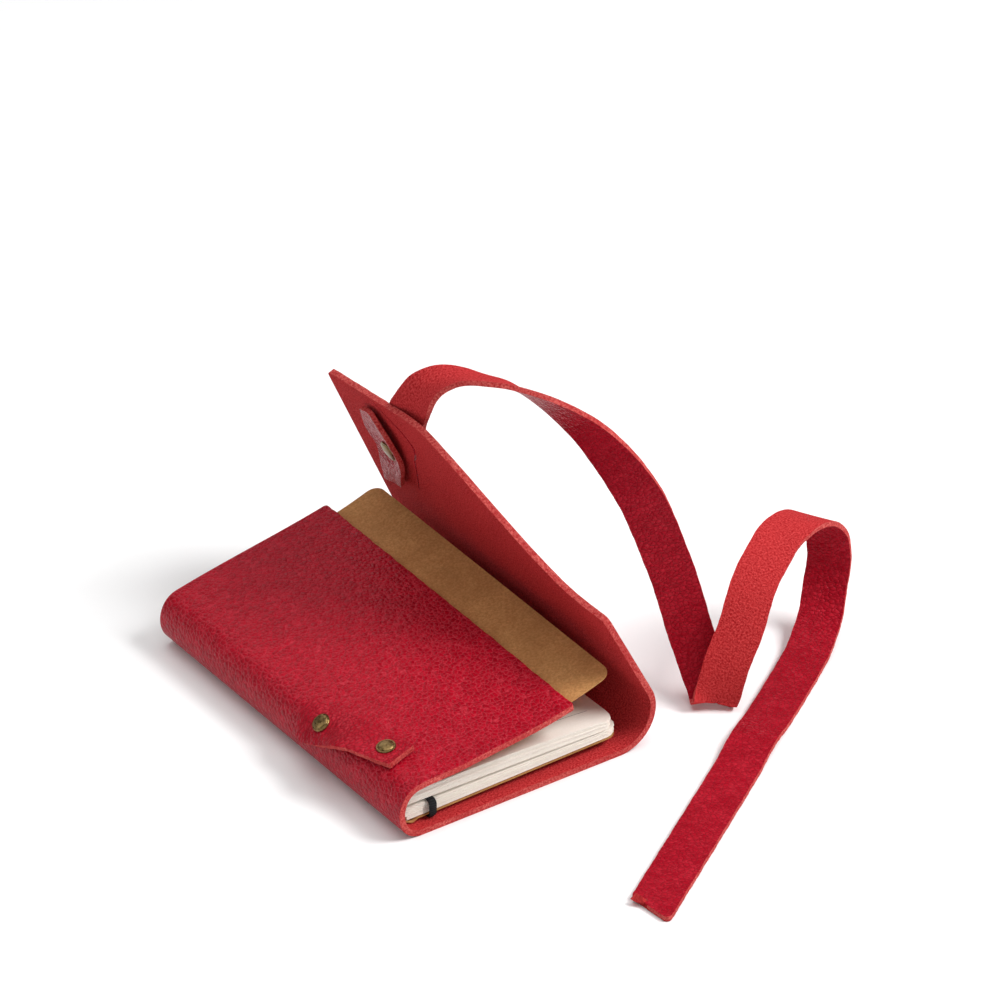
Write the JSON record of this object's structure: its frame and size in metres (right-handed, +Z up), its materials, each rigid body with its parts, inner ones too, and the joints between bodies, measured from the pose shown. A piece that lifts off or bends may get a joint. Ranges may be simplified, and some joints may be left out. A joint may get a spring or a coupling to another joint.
{
  "type": "pocket notebook",
  "caption": "Leather wrap journal with a rounded spine, a lifted front cover, a standing flap with a long tie strap, a riveted strap keeper and a paper booklet held by an elastic.",
  "frame": {"origin": "centre of the flat back panel's underside, on the table", "axes": "+X from the spine to the fore edge, +Y from the tail to the head, +Z up off the table"},
  "size_m": [0.2055, 0.2314, 0.1167],
  "materials": {
    "red_leather": "pebbled",
    "page_paper": "matte",
    "kraft_paper": "matte",
    "antique_brass": "satin",
    "black_elastic": "matte",
    "staple_wire": "satin"
  },
  "bodies": {
    "back": {"cover_back": "red_leather", "cover_spine": "red_leather", "cover_fore_edge": "red_leather", "strap": "red_leather", "keeper": "red_leather", "keeper_rivet_cap_1": "antique_brass", "keeper_rivet_cap_2": "antique_brass", "keeper_rivet_post_1": "antique_brass", "keeper_rivet_post_2": "antique_brass", "kraft_back": "kraft_paper", "lower_leaves_1": "page_paper", "lower_leaves_2": "page_paper", "lower_leaves_3": "page_paper", "elastic_loop": "black_elastic", "staple_head": "staple_wire", "staple_tail": "staple_wire"},
    "shoulder": {"cover_shoulder": "red_leather"},
    "front": {"cover_front": "red_leather"},
    "flap": {"cover_flap": "red_leather", "strap_tab": "red_leather", "strap_rivet_cap": "antique_brass", "strap_rivet_post": "antique_brass"},
    "leaves_1": {"upper_leaves_1": "page_paper"},
    "leaves_2": {"upper_leaves_2": "page_paper"},
    "leaves_3": {"upper_leaves_3": "page_paper"},
    "kraft": {"kraft_front": "kraft_paper"}
  },
  "joints": [
    {"name": "cover_opening", "type": "hinge", "parent": "back", "child": "shoulder", "pos_m": [-0.03985, 0, 0.009], "axis": [0, -1, 0], "range_deg": [0, 145], "deforming": ["cover_spine", "keeper", "keeper_rivet_cap_1", "keeper_rivet_cap_2", "keeper_rivet_post_1", "keeper_rivet_post_2"]},
    {"name": "front_press", "type": "hinge", "parent": "shoulder", "child": "front", "pos_m": [-0.03506, 0, 0.01804], "axis": [0, -1, 0], "range_deg": [-11.5, 19.4]},
    {"name": "flap_hinge", "type": "hinge", "parent": "back", "child": "flap", "pos_m": [0.03985, 0, 0.0145], "axis": [0, -1, 0], "range_deg": [-110, 62], "deforming": ["cover_fore_edge", "strap"]},
    {"name": "leaves_turn_1", "type": "hinge", "parent": "back", "child": "leaves_1", "pos_m": [-0.04265, 0, 0.0148], "axis": [0, -1, 0], "range_deg": [0, 127]},
    {"name": "leaves_turn_2", "type": "hinge", "parent": "back", "child": "leaves_2", "pos_m": [-0.04265, 0, 0.0148], "axis": [0, -1, 0], "range_deg": [0, 131]},
    {"name": "leaves_turn_3", "type": "hinge", "parent": "back", "child": "leaves_3", "pos_m": [-0.04265, 0, 0.0148], "axis": [0, -1, 0], "range_deg": [0, 135]},
    {"name": "kraft_press", "type": "hinge", "parent": "leaves_3", "child": "kraft", "pos_m": [-0.03506, 0, 0.01804], "axis": [0, -1, 0], "range_deg": [-11.5, 19.4]}
  ],
  "couplings": [
    {"joint": "leaves_turn_1", "follows": "cover_opening", "ratio": 0.87},
    {"joint": "leaves_turn_2", "follows": "cover_opening", "ratio": 0.9},
    {"joint": "leaves_turn_3", "follows": "cover_opening", "ratio": 0.93},
    {"joint": "front_press", "follows": "flap_hinge", "ratio": -0.174},
    {"joint": "kraft_press", "follows": "flap_hinge", "ratio": -0.174}
  ]
}
